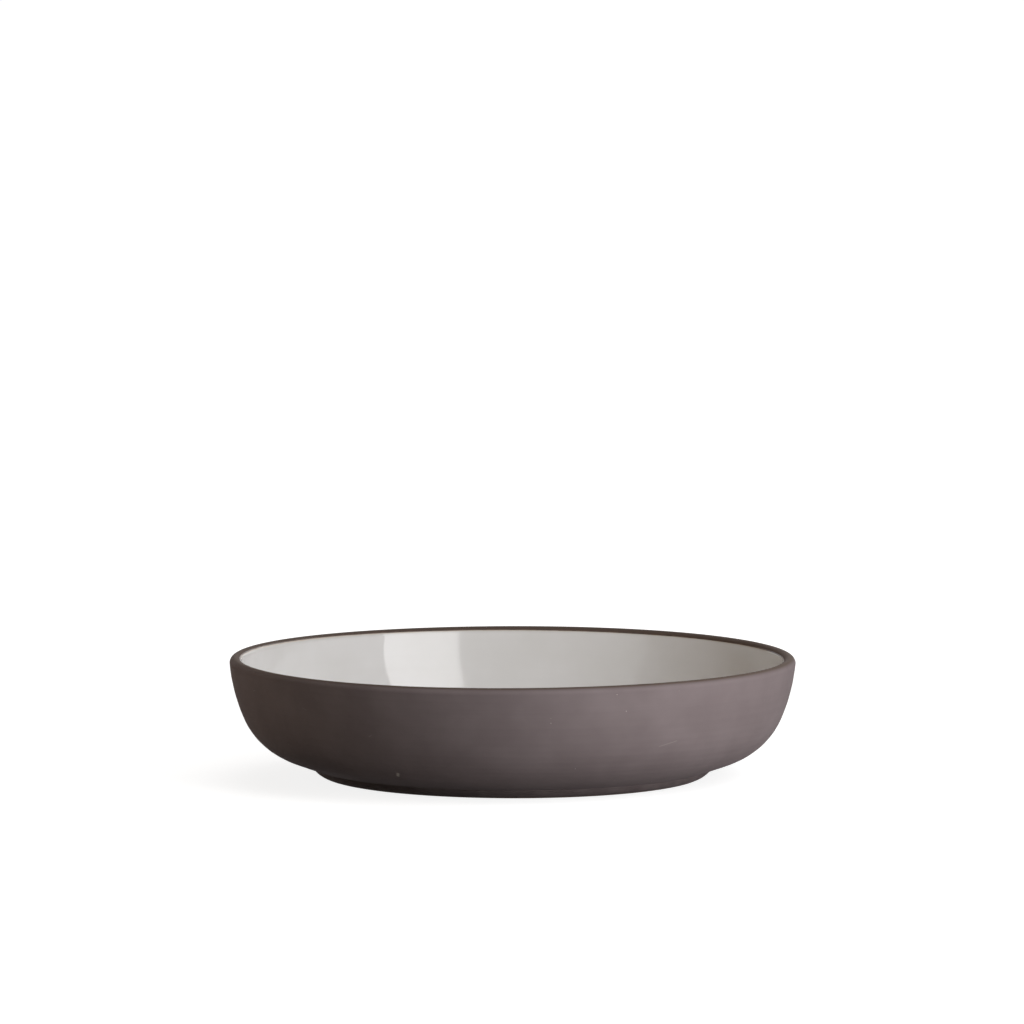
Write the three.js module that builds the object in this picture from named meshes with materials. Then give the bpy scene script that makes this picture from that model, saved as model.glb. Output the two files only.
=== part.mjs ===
// Deep coupe plate in two-tone stoneware, standing on its foot ring.
// Millimetres, +Z up, origin on the table under the middle of the plate.
// Every piece is turned about Z, as the plate is on the wheel.
import * as THREE from 'three';

const { degToRad } = THREE.MathUtils;

// Overall form
const OVERALL_DIAMETER = 230;
const OVERALL_HEIGHT = 48.8;
const LIP_THICKNESS = 4.9;
const LIP_FLARE = degToRad(5.7);          // lean of the wall where it meets the lip
const WALL_LEAN = 3.2;                    // how far the lip stands out past the cove

// Outside below the wall
const COVE_RADIUS = 30.5;                 // round between wall and underside
const UNDERSIDE_SLOPE = degToRad(19.7);

// Foot ring
const FOOT_INSET = 33.6;                  // from the plate's edge in to where the foot starts
const FOOT_HEIGHT = 4;
const FOOT_SIDE_RADIUS = 9;               // round of the foot's outer side
const FOOT_TUCK = 6.3;                    // how far the contact edge lies inside the foot's top
const FOOT_LAND = 4.4;                    // width of the flat ring that touches the table
const FOOT_INNER_DRAFT = 2.4;             // how far the inner side leans towards the middle

// Inside
const FLOOR_THICKNESS = 6.4;              // clay between the base and the floor
const FLOOR_COVE_RADIUS = 24;             // round between floor and inner wall, in the clay

// Coats
const GLAZE_THICKNESS = 0.5;
const SLIP_THICKNESS = 0.4;
const BOND_GAP = 0.05;                    // clearance between pieces that are fired together
const GLAZE_LINE = degToRad(155);         // where the slip stops on the lip, the crest being at 90
const BREAK_WIDTH = 0.45;                 // thin line between slip and glaze

// Facets
const TURN_STEPS = 60;
const LIP_INNER_STEPS = 2;
const LIP_OUTER_STEPS = 4;
const WALL_STEPS = 4;
const COVE_STEPS = 7;
const FOOT_STEPS = 4;

// Finishes
const CLAY = { color: 0x8a7466, roughness: 0.9, metalness: 0 };
const FOOT_CLAY = { color: 0x5d4f4a, roughness: 0.92, metalness: 0 };
const SLIP = { color: 0x6f6464, roughness: 0.8, metalness: 0 };
const GLAZE = { color: 0xe6e4e2, roughness: 0.12, metalness: 0 };
const BREAK = { color: 0x4e3a30, roughness: 0.35, metalness: 0 };

const RIGHT_ANGLE = Math.PI / 2;
const CREST = RIGHT_ANGLE;

/** Point in the turning plane: x is the radius, y the height. */
function at(radius, height) {
  return new THREE.Vector2(radius, height);
}

/** Unit vector at an angle from the outward direction. */
function toward(angle) {
  return at(Math.cos(angle), Math.sin(angle));
}

/** Points along an arc about a centre, both ends included. */
function arc(centre, radius, from, to, steps) {
  const clockwise = to < from;
  return new THREE.EllipseCurve(centre.x, centre.y, radius, radius, from, to, clockwise).getPoints(steps);
}

/** Points along the clockwise arc of a given radius from one point to another. */
function arcBetween(start, end, radius, steps) {
  const way = end.clone().sub(start);
  const toCentre = at(way.y, -way.x).normalize();
  const reach = Math.sqrt(radius ** 2 - way.lengthSq() / 4);
  const centre = start.clone().lerp(end, 0.5).addScaledVector(toCentre, reach);
  const from = start.clone().sub(centre).angle();
  const sweep = 2 * Math.asin(way.length() / 2 / radius);
  return arc(centre, radius, from, from - sweep, steps);
}

// The section is a chain of tangent arcs, so a coat is the same chain moved out from the clay.
const slipFace = BOND_GAP + SLIP_THICKNESS;
const glazeFace = BOND_GAP + GLAZE_THICKNESS;
const flareSide = toward(-LIP_FLARE);

// Full round lip
const lipCentre = at((OVERALL_DIAMETER - LIP_THICKNESS) / 2, OVERALL_HEIGHT - LIP_THICKNESS / 2);
const lipRadius = LIP_THICKNESS / 2 - slipFace;
const wallTop = lipCentre.clone().addScaledVector(flareSide, LIP_THICKNESS / 2);

// The cove's round rests on the sloping underside, which starts at the foot.
const footRadius = OVERALL_DIAMETER / 2 - FOOT_INSET;
const coveReach = wallTop.x - WALL_LEAN - COVE_RADIUS;
const underRun = coveReach - footRadius + COVE_RADIUS * Math.sin(UNDERSIDE_SLOPE);
const underEnd = at(footRadius + underRun, FOOT_HEIGHT + underRun * Math.tan(UNDERSIDE_SLOPE));
const coveCentre = at(coveReach, underEnd.y + COVE_RADIUS * Math.cos(UNDERSIDE_SLOPE));
const coveRadius = COVE_RADIUS - slipFace;

// One wall arc runs tangent from the lip's outer side into the cove.
const coveToLip = wallTop.clone().sub(coveCentre);
const wallRadius = (coveToLip.lengthSq() - COVE_RADIUS ** 2)
  / (2 * (coveToLip.dot(flareSide) - COVE_RADIUS));
const wallCentre = wallTop.clone().addScaledVector(flareSide, -wallRadius);
const wallTurn = wallCentre.clone().sub(coveCentre);
const outerTurn = -Math.atan2(wallTurn.y, -wallTurn.x);
const outerWallRadius = wallRadius - slipFace;

// The inner wall shares the outer wall's centre, and its own cove runs down to the flat floor.
const baseHeight = FOOT_HEIGHT + slipFace / Math.cos(UNDERSIDE_SLOPE);
const floorHeight = baseHeight + FLOOR_THICKNESS;
const innerWallRadius = outerWallRadius - 2 * lipRadius;
const floorCoveDrop = wallCentre.y - floorHeight - FLOOR_COVE_RADIUS;
const floorCoveRun = Math.sqrt((innerWallRadius - FLOOR_COVE_RADIUS) ** 2 - floorCoveDrop ** 2);
const floorCoveCentre = wallCentre.clone().add(at(floorCoveRun, -floorCoveDrop));
const innerTurn = -Math.atan2(floorCoveDrop, floorCoveRun);

// Angles along the lip where one piece hands over to the next
const lipOuterEnd = -LIP_FLARE;
const lipInnerEnd = Math.PI - LIP_FLARE;
const breakEnd = GLAZE_LINE + BREAK_WIDTH / lipRadius;
const bondAngle = BOND_GAP / lipRadius;

// Foot ring, from its outer side in
const landOuter = footRadius - FOOT_TUCK;
const landInner = landOuter - FOOT_LAND;
const wellRadius = landInner - FOOT_INNER_DRAFT;
const footTop = baseHeight - BOND_GAP;

/** Outside of the dish from a place on the lip down to the underside, moved out from the clay. */
function outsideArcs(offset, lipStart) {
  const underTurn = UNDERSIDE_SLOPE - RIGHT_ANGLE;
  return [
    ...arc(lipCentre, lipRadius + offset, lipStart, CREST, LIP_INNER_STEPS),
    ...arc(lipCentre, lipRadius + offset, CREST, lipOuterEnd, LIP_OUTER_STEPS).slice(1),
    ...arc(wallCentre, outerWallRadius + offset, lipOuterEnd, outerTurn, WALL_STEPS).slice(1),
    ...arc(coveCentre, coveRadius + offset, outerTurn, underTurn, COVE_STEPS).slice(1),
  ];
}

/** Inside of the dish from a place on the lip down to the middle of the floor, moved in from the clay. */
function insideLine(offset, lipStart) {
  return [
    ...arc(lipCentre, lipRadius + offset, lipStart, lipInnerEnd, 1),
    ...arc(wallCentre, innerWallRadius - offset, lipOuterEnd, innerTurn, WALL_STEPS).slice(1),
    ...arc(floorCoveCentre, FLOOR_COVE_RADIUS - offset, innerTurn, -RIGHT_ANGLE, COVE_STEPS).slice(1),
    at(0, floorHeight + offset),
  ];
}

/** Point on the underside, moved out from the clay, just outside the foot ring. */
function underAtFoot(offset) {
  const drop = offset / Math.cos(UNDERSIDE_SLOPE);
  return at(footRadius + BOND_GAP, baseHeight + BOND_GAP * Math.tan(UNDERSIDE_SLOPE) - drop);
}

/** The outline closed on itself by repeating its first point. */
function closed(outline) {
  return [...outline, outline[0].clone()];
}

/** Named mesh turned about Z from a section outline that runs upward on its outer side. */
function turned(name, outline, finish) {
  const geometry = new THREE.LatheGeometry(outline, TURN_STEPS);
  geometry.rotateX(RIGHT_ANGLE);
  const mesh = new THREE.Mesh(geometry, new THREE.MeshStandardMaterial(finish));
  mesh.name = name;
  return mesh;
}

/** Pressed dish: flat base, coved wall, full round lip and flat floor. */
function clayBody() {
  const outline = [
    at(0, baseHeight),
    at(footRadius, baseHeight),
    ...outsideArcs(0, GLAZE_LINE).reverse(),
    ...insideLine(0, breakEnd),
  ];
  return turned('clay_body', outline, CLAY);
}

/** Ring that the plate stands on: round outer side, flat land and a drafted inner side. */
function footRing() {
  const shoulder = at(footRadius, FOOT_HEIGHT);
  const outerSide = arcBetween(shoulder, at(landOuter, 0), FOOT_SIDE_RADIUS, FOOT_STEPS);
  const outline = [
    at(wellRadius, footTop),
    at(landInner, 0),
    ...outerSide.reverse(),
    at(footRadius, footTop),
  ];
  return turned('foot_ring', closed(outline), FOOT_CLAY);
}

/** Matte coat over the outside and the lip. */
function outerSlip() {
  const start = GLAZE_LINE - bondAngle;
  const inner = [...outsideArcs(BOND_GAP, start), underAtFoot(BOND_GAP)];
  const outer = [...outsideArcs(slipFace, start), underAtFoot(slipFace)];
  return turned('outer_slip', closed([...outer.reverse(), ...inner]), SLIP);
}

/** Glossy coat over the floor and the inner wall. */
function linerGlaze() {
  const start = breakEnd + bondAngle;
  const inner = insideLine(BOND_GAP, start);
  const outer = insideLine(glazeFace, start);
  return turned('liner_glaze', [...inner.reverse(), ...outer], GLAZE);
}

/** Thin line along the lip where the glaze runs out over the slip. */
function breakLine() {
  const inner = arc(lipCentre, lipRadius + BOND_GAP, GLAZE_LINE, breakEnd, 1);
  const outer = arc(lipCentre, lipRadius + slipFace, GLAZE_LINE, breakEnd, 1);
  return turned('break_line', closed([...inner.reverse(), ...outer]), BREAK);
}

/** Matte coat on the base inside the foot ring. */
function baseSlip() {
  const edge = wellRadius - BOND_GAP;
  const face = footTop - SLIP_THICKNESS;
  const outline = [at(0, face), at(edge, face), at(edge, footTop), at(0, footTop)];
  return turned('base_slip', outline, SLIP);
}

const plate = new THREE.Group();
plate.name = 'plate';
plate.add(clayBody(), footRing(), outerSlip(), linerGlaze(), breakLine(), baseSlip());

export default plate;
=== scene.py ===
"""Deep coupe plate in two-tone stoneware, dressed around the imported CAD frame.

The plate is turned on a wheel: a stoneware dish with a glossy white liner
inside, a matte brown-grey slip outside and over the round lip, a thin dark line
where the two meet, and a foot ring that is wiped bare where it stands. Every
piece is turned about Z. Lengths are in metres and angles in radians.
"""

import logging
import math
from abc import ABC, abstractmethod
from collections.abc import Callable
from dataclasses import dataclass
from enum import Enum
from functools import cached_property
from typing import ClassVar

import bpy
import numpy as np
from mathutils import Color, Matrix, Quaternion, Vector

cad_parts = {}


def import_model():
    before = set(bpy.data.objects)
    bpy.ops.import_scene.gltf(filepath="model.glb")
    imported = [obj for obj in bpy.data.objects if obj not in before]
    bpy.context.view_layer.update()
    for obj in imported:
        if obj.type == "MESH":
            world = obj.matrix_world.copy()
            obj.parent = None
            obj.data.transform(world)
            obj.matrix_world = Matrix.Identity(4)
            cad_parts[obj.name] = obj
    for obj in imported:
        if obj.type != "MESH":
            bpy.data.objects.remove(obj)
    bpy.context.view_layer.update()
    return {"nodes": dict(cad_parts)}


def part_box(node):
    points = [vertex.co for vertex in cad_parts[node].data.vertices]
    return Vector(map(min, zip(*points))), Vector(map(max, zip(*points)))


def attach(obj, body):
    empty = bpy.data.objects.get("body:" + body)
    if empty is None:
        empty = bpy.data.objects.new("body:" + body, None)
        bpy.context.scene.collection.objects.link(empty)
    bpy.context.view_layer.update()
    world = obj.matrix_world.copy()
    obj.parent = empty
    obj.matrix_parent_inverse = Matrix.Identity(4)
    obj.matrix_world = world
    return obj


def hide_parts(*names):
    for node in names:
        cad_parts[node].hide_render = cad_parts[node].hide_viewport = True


LOG = logging.getLogger("plate")

MM = 0.001
RIGHT_ANGLE = math.pi / 2
FULL_TURN = 2 * math.pi
CREST = RIGHT_ANGLE
FULL_BYTE = 255
TINY = 1e-12
BODY = "root"
EDGE_WAY = "edge_way"

# Levels of a noise pattern: its middle, most of its range, nearly all of it, and its rare peaks
NOISE_MIDDLE = 0.5
NOISE_MOST = (0.3, 0.7)
NOISE_WIDE = (0.2, 0.8)
NOISE_PEAKS = (0.68, 0.74)

Colour = tuple[float, float, float, float]
Place = tuple[float, float, float]
Socket = bpy.types.NodeSocket
Inputs = dict[str | int, object]


class CadNode(Enum):
    """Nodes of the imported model."""

    BODY = "clay_body"
    FOOT = "foot_ring"
    SLIP = "outer_slip"
    LINER = "liner_glaze"
    BREAK = "break_line"
    BASE = "base_slip"


class Slot(Enum):
    """Material slots of the part's record that the turned pieces take."""

    FOOT_CLAY = "foot_clay"
    SLIP = "outer_slip"
    LINER = "liner_glaze"
    BREAK = "break_line"


def tone(red: int, green: int, blue: int) -> Colour:
    """Opaque linear colour from the 0 to 255 values that a screen shows."""
    shown = Color((red / FULL_BYTE, green / FULL_BYTE, blue / FULL_BYTE))
    return (*shown.from_srgb_to_scene_linear(), 1.0)


def placed(name: str, data: bpy.types.ID) -> bpy.types.Object:
    """Makes an object of some data and links it to the scene.

    Args:
        name: Name of the new object.
        data: Its mesh, lamp or camera.

    Returns:
        The new object.
    """
    made = bpy.data.objects.new(name, data)
    bpy.context.collection.objects.link(made)
    return made


def flat_sheet(name: str, corners: list[Place], finish: bpy.types.Material) -> bpy.types.Object:
    """Makes a flat sheet with four corners.

    Args:
        name: Name of the new object.
        corners: The corners in order.
        finish: Material of the sheet.

    Returns:
        The new object.
    """
    mesh = bpy.data.meshes.new(name)
    mesh.from_pydata(corners, [], [(0, 1, 2, 3)])
    mesh.materials.append(finish)
    return placed(name, mesh)


def direction(azimuth: float, elevation: float) -> Vector:
    """Unit vector away from the plate.

    Args:
        azimuth: Angle to the right of the camera, seen from the plate.
        elevation: Angle above the table.

    Returns:
        The vector.
    """
    flat = math.cos(elevation)
    return Vector((math.sin(azimuth) * flat, -math.cos(azimuth) * flat, math.sin(elevation)))


def toward(angle: float) -> np.ndarray:
    """Unit vector in the turning plane at an angle from the outward direction."""
    return np.array([math.cos(angle), math.sin(angle)])


def arc(centre: np.ndarray, radius: float, start: float, end: float, count: int) -> np.ndarray:
    """Points along an arc in the turning plane, in a count of steps from angle to angle."""
    angles = np.linspace(start, end, count + 1)
    return centre + radius * np.column_stack([np.cos(angles), np.sin(angles)])


def straight(start: np.ndarray, end: np.ndarray, count: int) -> np.ndarray:
    """Points along a straight run in the turning plane, in a count of steps."""
    return start + (end - start) * np.linspace(0, 1, count + 1)[:, None]


def chain(*runs: np.ndarray) -> np.ndarray:
    """Runs that start where the last one ended, joined without the repeated points."""
    return np.concatenate([runs[0], *(run[1:] for run in runs[1:])])


def eased(before: np.ndarray, corner: np.ndarray, after: np.ndarray,
          reach: float, count: int) -> np.ndarray:
    """Points round a corner that has been softened.

    Args:
        before: Point before the corner.
        corner: The corner.
        after: Point after the corner.
        reach: How far the softening runs along each side.
        count: Number of steps.

    Returns:
        One row of radius and height per point.
    """
    sides = (side - corner for side in (before, after))
    start, end = (corner + reach * side / np.linalg.norm(side) for side in sides)
    share = np.linspace(0, 1, count + 1)[:, None]
    return (1 - share) ** 2 * start + 2 * share * (1 - share) * corner + share**2 * end


@dataclass(frozen=True)
class Outline:
    """Closed section of a turned piece.

    Attributes:
        points: Radius and height of each point, anticlockwise.
        marked: How much of the wheel's marks each point takes, from 0 to 1.
        fade: Number of points over which the marks fade in from an edge.
        thinning: One point in this many is kept on the hidden side of a coat.
    """

    points: np.ndarray
    marked: np.ndarray

    fade: ClassVar[int] = 12
    thinning: ClassVar[int] = 6

    @classmethod
    def coat(cls, face: np.ndarray, back: np.ndarray) -> "Outline":
        """Section of a coat.

        Args:
            face: Points along the side that shows, from one edge to the other.
            back: Points along the hidden side, in the same direction.

        Returns:
            The closed section, with wheel marks that fade out at the face's edges.
        """
        order = np.arange(len(face))
        inward = np.minimum(order, order[::-1])
        hidden = np.concatenate([back[:-1:cls.thinning], back[-1:]])
        marked = np.concatenate([np.clip(inward / cls.fade, 0, 1), np.zeros(len(hidden))])
        return cls(np.concatenate([face, hidden[::-1]]), marked)

    def normals(self) -> np.ndarray:
        """Directions out of the section.

        Returns:
            One row per point, as a unit vector in the turning plane.
        """
        ahead = np.roll(self.points, -1, axis=0) - np.roll(self.points, 1, axis=0)
        out = np.column_stack([ahead[:, 1], -ahead[:, 0]])
        return out / np.maximum(np.linalg.norm(out, axis=1), TINY)[:, None]


@dataclass(frozen=True)
class Facets:
    """Number of steps along each stretch of the section.

    Attributes:
        lip_inner: Slip on the lip, from the glaze line to the crest.
        lip_outer: Slip on the lip, from the crest to the wall.
        wall: Outer wall.
        cove: Round between wall and underside.
        underside: Underside, from the cove to the foot.
        break_line: Line between slip and liner.
        liner_lip: Liner on the lip.
        inner_wall: Inner wall.
        floor_cove: Round between inner wall and floor.
        floor: Floor, from the cove to the middle.
        foot_side: Round outer side of the foot.
        foot_flat: Inner side of the foot, and its land.
        foot_edge: Each rounded edge of the land.
        foot_edge_side: Part of the outer side that the land's rounded edge takes up.
        base: Base inside the foot.
    """

    lip_inner: int = 16
    lip_outer: int = 24
    wall: int = 70
    cove: int = 110
    underside: int = 36
    break_line: int = 6
    liner_lip: int = 8
    inner_wall: int = 80
    floor_cove: int = 90
    floor: int = 110
    foot_side: int = 28
    foot_flat: int = 12
    foot_edge: int = 8
    foot_edge_side: int = 4
    base: int = 130


@dataclass(frozen=True)
class PlateSection:
    """Section of the plate as a chain of tangent arcs along the faces that show.

    Attributes:
        edge_radius: Widest radius, at the lip.
        height: Height of the lip's crest.
        foot_radius: Radius where the foot ring meets the underside.
        floor_height: Height of the glazed floor.
        lip_thickness: Thickness of the full round lip.
        lip_flare: Lean of the wall where it meets the lip.
        wall_lean: How far the lip stands out past the cove.
        cove_radius: Round between wall and underside.
        underside_slope: Rise of the underside away from the foot.
        foot_height: Height of the foot ring's shoulder.
        floor_cove_radius: Round between floor and inner wall.
        glaze_rise: How far the liner stands proud of the slip.
        glaze_line: Angle on the lip where the slip stops.
        break_width: Width of the line between slip and liner.
        facets: Number of steps along each stretch.
    """

    edge_radius: float
    height: float
    foot_radius: float
    floor_height: float
    lip_thickness: float = 4.9 * MM
    lip_flare: float = math.radians(5.7)
    wall_lean: float = 3.2 * MM
    cove_radius: float = 30.5 * MM
    underside_slope: float = math.radians(19.7)
    foot_height: float = 4 * MM
    floor_cove_radius: float = 23.45 * MM
    glaze_rise: float = 0.1 * MM
    glaze_line: float = math.radians(144)
    break_width: float = 0.45 * MM
    facets: Facets = Facets()

    @property
    def lip_radius(self) -> float:
        """Radius of the lip's round."""
        return self.lip_thickness / 2

    @property
    def lip_centre(self) -> np.ndarray:
        """Centre of the lip's round."""
        return np.array([self.edge_radius - self.lip_radius, self.height - self.lip_radius])

    @property
    def lip_outer_end(self) -> float:
        """Angle where the lip hands over to the outer wall."""
        return -self.lip_flare

    @property
    def lip_inner_end(self) -> float:
        """Angle where the lip hands over to the inner wall."""
        return math.pi - self.lip_flare

    @property
    def break_end(self) -> float:
        """Angle on the lip where the liner starts."""
        return self.glaze_line + self.break_width / self.lip_radius

    @cached_property
    def wall_top(self) -> np.ndarray:
        """Point where the lip's outer side runs into the wall."""
        return self.lip_centre + toward(self.lip_outer_end) * self.lip_radius

    @cached_property
    def cove_centre(self) -> np.ndarray:
        """Centre of the round that rests on the sloping underside.

        Returns:
            Its radius and height.
        """
        reach = self.wall_top[0] - self.wall_lean - self.cove_radius
        run = reach - self.foot_radius + self.cove_radius * math.sin(self.underside_slope)
        rise = run * math.tan(self.underside_slope)
        drop = self.cove_radius * math.cos(self.underside_slope)
        return np.array([reach, self.foot_height + rise + drop])

    @cached_property
    def wall_radius(self) -> float:
        """Radius of the arc that is tangent to the lip and the cove.

        Returns:
            The radius.
        """
        way = self.wall_top - self.cove_centre
        spare = way @ way - self.cove_radius**2
        return spare / (2 * (way @ toward(self.lip_outer_end) - self.cove_radius))

    @cached_property
    def wall_centre(self) -> np.ndarray:
        """Centre of the wall's arc."""
        return self.wall_top - toward(self.lip_outer_end) * self.wall_radius

    @cached_property
    def inner_wall_radius(self) -> float:
        """Radius of the inner wall, which shares the outer wall's centre."""
        return self.wall_radius - self.lip_thickness - self.glaze_rise

    @cached_property
    def floor_cove_centre(self) -> np.ndarray:
        """Centre of the round between floor and inner wall.

        Returns:
            Its radius and height.
        """
        height = self.floor_height + self.floor_cove_radius
        spare = self.inner_wall_radius - self.floor_cove_radius
        run = math.sqrt(spare**2 - (self.wall_centre[1] - height) ** 2)
        return np.array([self.wall_centre[0] + run, height])

    def outside(self, depth: float, shift: float) -> np.ndarray:
        """Outside of the dish, from the glaze line over the lip and down to the foot.

        Args:
            depth: How far the line lies below the face that shows.
            shift: How far the glaze line has moved along the lip.

        Returns:
            One row of radius and height per point.
        """
        steps = self.facets
        turn = self.wall_centre - self.cove_centre
        cove_start = -math.atan2(turn[1], -turn[0])
        cove_end = self.underside_slope - RIGHT_ANGLE
        lip_start = self.glaze_line + shift / self.lip_radius
        lip, wall = self.lip_radius - depth, self.wall_radius - depth
        cove = arc(self.cove_centre, self.cove_radius - depth, cove_start, cove_end, steps.cove)
        rise = depth / math.cos(self.underside_slope)
        foot = np.array([self.foot_radius, self.foot_height + rise])
        return chain(
            arc(self.lip_centre, lip, lip_start, CREST, steps.lip_inner),
            arc(self.lip_centre, lip, CREST, self.lip_outer_end, steps.lip_outer),
            arc(self.wall_centre, wall, self.lip_outer_end, cove_start, steps.wall),
            cove,
            straight(cove[-1], foot, steps.underside),
        )

    def inside(self, depth: float, shift: float) -> np.ndarray:
        """Inside of the dish, from the liner's edge on the lip to the middle of the floor.

        Args:
            depth: How far the line lies below the face that shows.
            shift: How far the glaze line has moved along the lip.

        Returns:
            One row of radius and height per point.
        """
        steps = self.facets
        turn = self.floor_cove_centre - self.wall_centre
        cove_start = math.atan2(turn[1], turn[0])
        lip_start = self.break_end + shift / self.lip_radius
        lip = self.lip_radius + self.glaze_rise - depth
        wall, floor_cove = self.inner_wall_radius + depth, self.floor_cove_radius + depth
        cove = arc(self.floor_cove_centre, floor_cove, cove_start, -RIGHT_ANGLE, steps.floor_cove)
        middle = np.array([0, cove[-1][1]])
        return chain(
            arc(self.lip_centre, lip, lip_start, self.lip_inner_end, steps.liner_lip),
            arc(self.wall_centre, wall, self.lip_outer_end, cove_start, steps.inner_wall),
            cove,
            straight(cove[-1], middle, steps.floor),
        )


@dataclass(frozen=True)
class WheelMarks:
    """Ripple that fingers and turning tools leave, as shallow spirals along the section.

    Attributes:
        pitches: Distance between ridges, one value per set of marks.
        heights: Height of the ridges, one value per set.
        seed: Start of the random phases.
        swell: Part by which the ridges grow and shrink twice a turn.
    """

    pitches: tuple[float, ...]
    heights: tuple[float, ...]
    seed: int
    swell: float = 0.4

    def lift(self, way: np.ndarray, turn: np.ndarray) -> np.ndarray:
        """Height of the marks above the plain surface.

        Args:
            way: Distance along the section of each point.
            turn: Angle round the wheel of each point.

        Returns:
            One height per point.
        """
        chance = np.random.default_rng(self.seed)
        total = np.zeros(np.broadcast(way, turn).shape)
        for pitch, height in zip(self.pitches, self.heights):
            ridge, rise = chance.uniform(0, FULL_TURN, 2)
            strength = height * (1 + self.swell * np.sin(2 * turn + rise))
            total += strength * np.sin(FULL_TURN * way / pitch + turn + ridge)
        return total


@dataclass(frozen=True)
class Kiln:
    """Small departures from the true round that drying and firing leave in the whole plate.

    Attributes:
        sags: Rise and fall of the lip once, twice and three times a turn, as sine and cosine
            parts.
        oval: How far the lip departs from a circle.
        oval_start: Where the oval's wave starts, as an angle.
        line_shift: How far the glaze line wanders along the lip.
        line_waves: Waves of the glaze line: number in a turn, start, and part of the wander.
    """

    sags: tuple[tuple[float, float], ...] = (
        (0.2 * MM, -0.11 * MM), (0.1 * MM, -0.05 * MM), (0.1 * MM, 0.03 * MM))
    oval: float = 0.08 * MM
    oval_start: float = 0.7
    line_shift: float = 0.65 * MM
    line_waves: tuple[tuple[int, float, float], ...] = (
        (1, 0, 0.76), (2, 1.6, 0.15), (3, 0.2, 0.04),
        (7, 1.9, 0.03), (16, 4.0, 0.015), (29, 0.9, 0.005))

    def warp(self, radius: np.ndarray, height: np.ndarray, turn: np.ndarray,
             section: PlateSection) -> tuple[np.ndarray, np.ndarray]:
        """Moves points of the true form to where they are after firing.

        Args:
            radius: Radius of each point.
            height: Height of each point.
            turn: Angle round the plate of each point.
            section: The plate's section, whose lip moves most.

        Returns:
            The new radii and heights.
        """
        share = np.clip(height / section.height, 0, 1) ** 2
        oval = self.oval * np.cos(2 * turn + self.oval_start)
        up = sum(sine * np.sin(count * turn) + cosine * np.cos(count * turn)
                 for count, (sine, cosine) in enumerate(self.sags, 1))
        return radius + radius / section.edge_radius * share * oval, height + share * up

    def line_share(self, turn: np.ndarray) -> np.ndarray:
        """Where the glaze line lies between its two extremes, from 0 to 1, at each angle."""
        waves = (part * np.sin(count * turn + start) for count, start, part in self.line_waves)
        return (1 + sum(waves)) / 2


@dataclass(frozen=True)
class Lathe:
    """Turns section outlines about Z into smooth closed meshes.

    Attributes:
        section: The plate's section.
        kiln: Departures from the true round, shared by all pieces.
        steps: Number of facets round the plate.
        axis_reach: Radius within which a ring of points is one point on the axis.
        sharp: Angle between faces above which an edge is sharp.
    """

    section: PlateSection
    kiln: Kiln
    steps: int = 288
    axis_reach: float = 0.001 * MM
    sharp: float = math.radians(40)

    def turn(self, name: str, outline_at: Callable[[float], Outline],
             marks: WheelMarks) -> bpy.types.Object:
        """Makes one turned piece.

        Args:
            name: Name of the new object.
            outline_at: Gives the outline for a shift of the glaze line.
            marks: Ripple on the face that shows.

        Returns:
            The new object, linked to the scene.
        """
        low, high = (outline_at(way * self.kiln.line_shift) for way in (-1, 1))
        turn = np.linspace(0, FULL_TURN, self.steps, endpoint=False)
        share = self.kiln.line_share(turn)[None, :, None]
        points = low.points[:, None] * (1 - share) + high.points[:, None] * share
        lift = marks.lift(points.sum(axis=2), turn) * low.marked[:, None]
        points = points + low.normals()[:, None] * lift[..., None]
        on_axis = low.points[:, 0] < self.axis_reach
        radius, height = self.kiln.warp(points[..., 0], points[..., 1], turn, self.section)
        rings = np.stack([radius * np.sin(turn), -radius * np.cos(turn), height], axis=2)
        piece = self._mesh(name, rings, on_axis)
        hops = np.linalg.norm(np.diff(low.points, axis=0), axis=1)
        ways = np.concatenate([[0], np.cumsum(hops)])
        stored = piece.data.attributes.new(EDGE_WAY, "FLOAT", "POINT")
        stored.data.foreach_set("value", np.repeat(ways, np.where(on_axis, 1, self.steps)))
        return piece

    def _mesh(self, name: str, rings: np.ndarray, on_axis: np.ndarray) -> bpy.types.Object:
        """Joins rings of points into a closed mesh.

        Args:
            name: Name of the new object.
            rings: Points as outline step, turning step and place.
            on_axis: Which rings are a single point on the axis.

        Returns:
            The new object, linked to the scene.
        """
        places: list[np.ndarray] = []
        numbers: list[list[int]] = []
        count = 0
        for ring, single in zip(rings, on_axis):
            if single:
                places.append(np.array([[0, 0, ring[:, 2].mean()]]))
                numbers.append([count] * self.steps)
                count += 1
            else:
                places.append(ring)
                numbers.append(list(range(count, count + self.steps)))
                count += self.steps
        faces: list[tuple[int, ...]] = []
        for first, second in zip(numbers, numbers[1:] + numbers[:1]):
            for step in range(self.steps):
                after = (step + 1) % self.steps
                corners = (first[step], first[after], second[after], second[step])
                face = tuple(dict.fromkeys(corners))
                if len(face) > 2:
                    faces.append(face)
        mesh = bpy.data.meshes.new(name)
        mesh.from_pydata(np.concatenate(places).tolist(), [], faces)
        mesh.shade_smooth()
        mesh.set_sharp_from_angle(angle=self.sharp)
        return placed(name, mesh)


@dataclass(frozen=True)
class Mark:
    """One thin pale mark on a surface.

    Attributes:
        start: One end of the mark.
        end: Its other end.
        width: How far the mark reaches to each side.
        strength: Part of the mark's tone at its middle.
    """

    start: Place
    end: Place
    width: float
    strength: float


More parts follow.
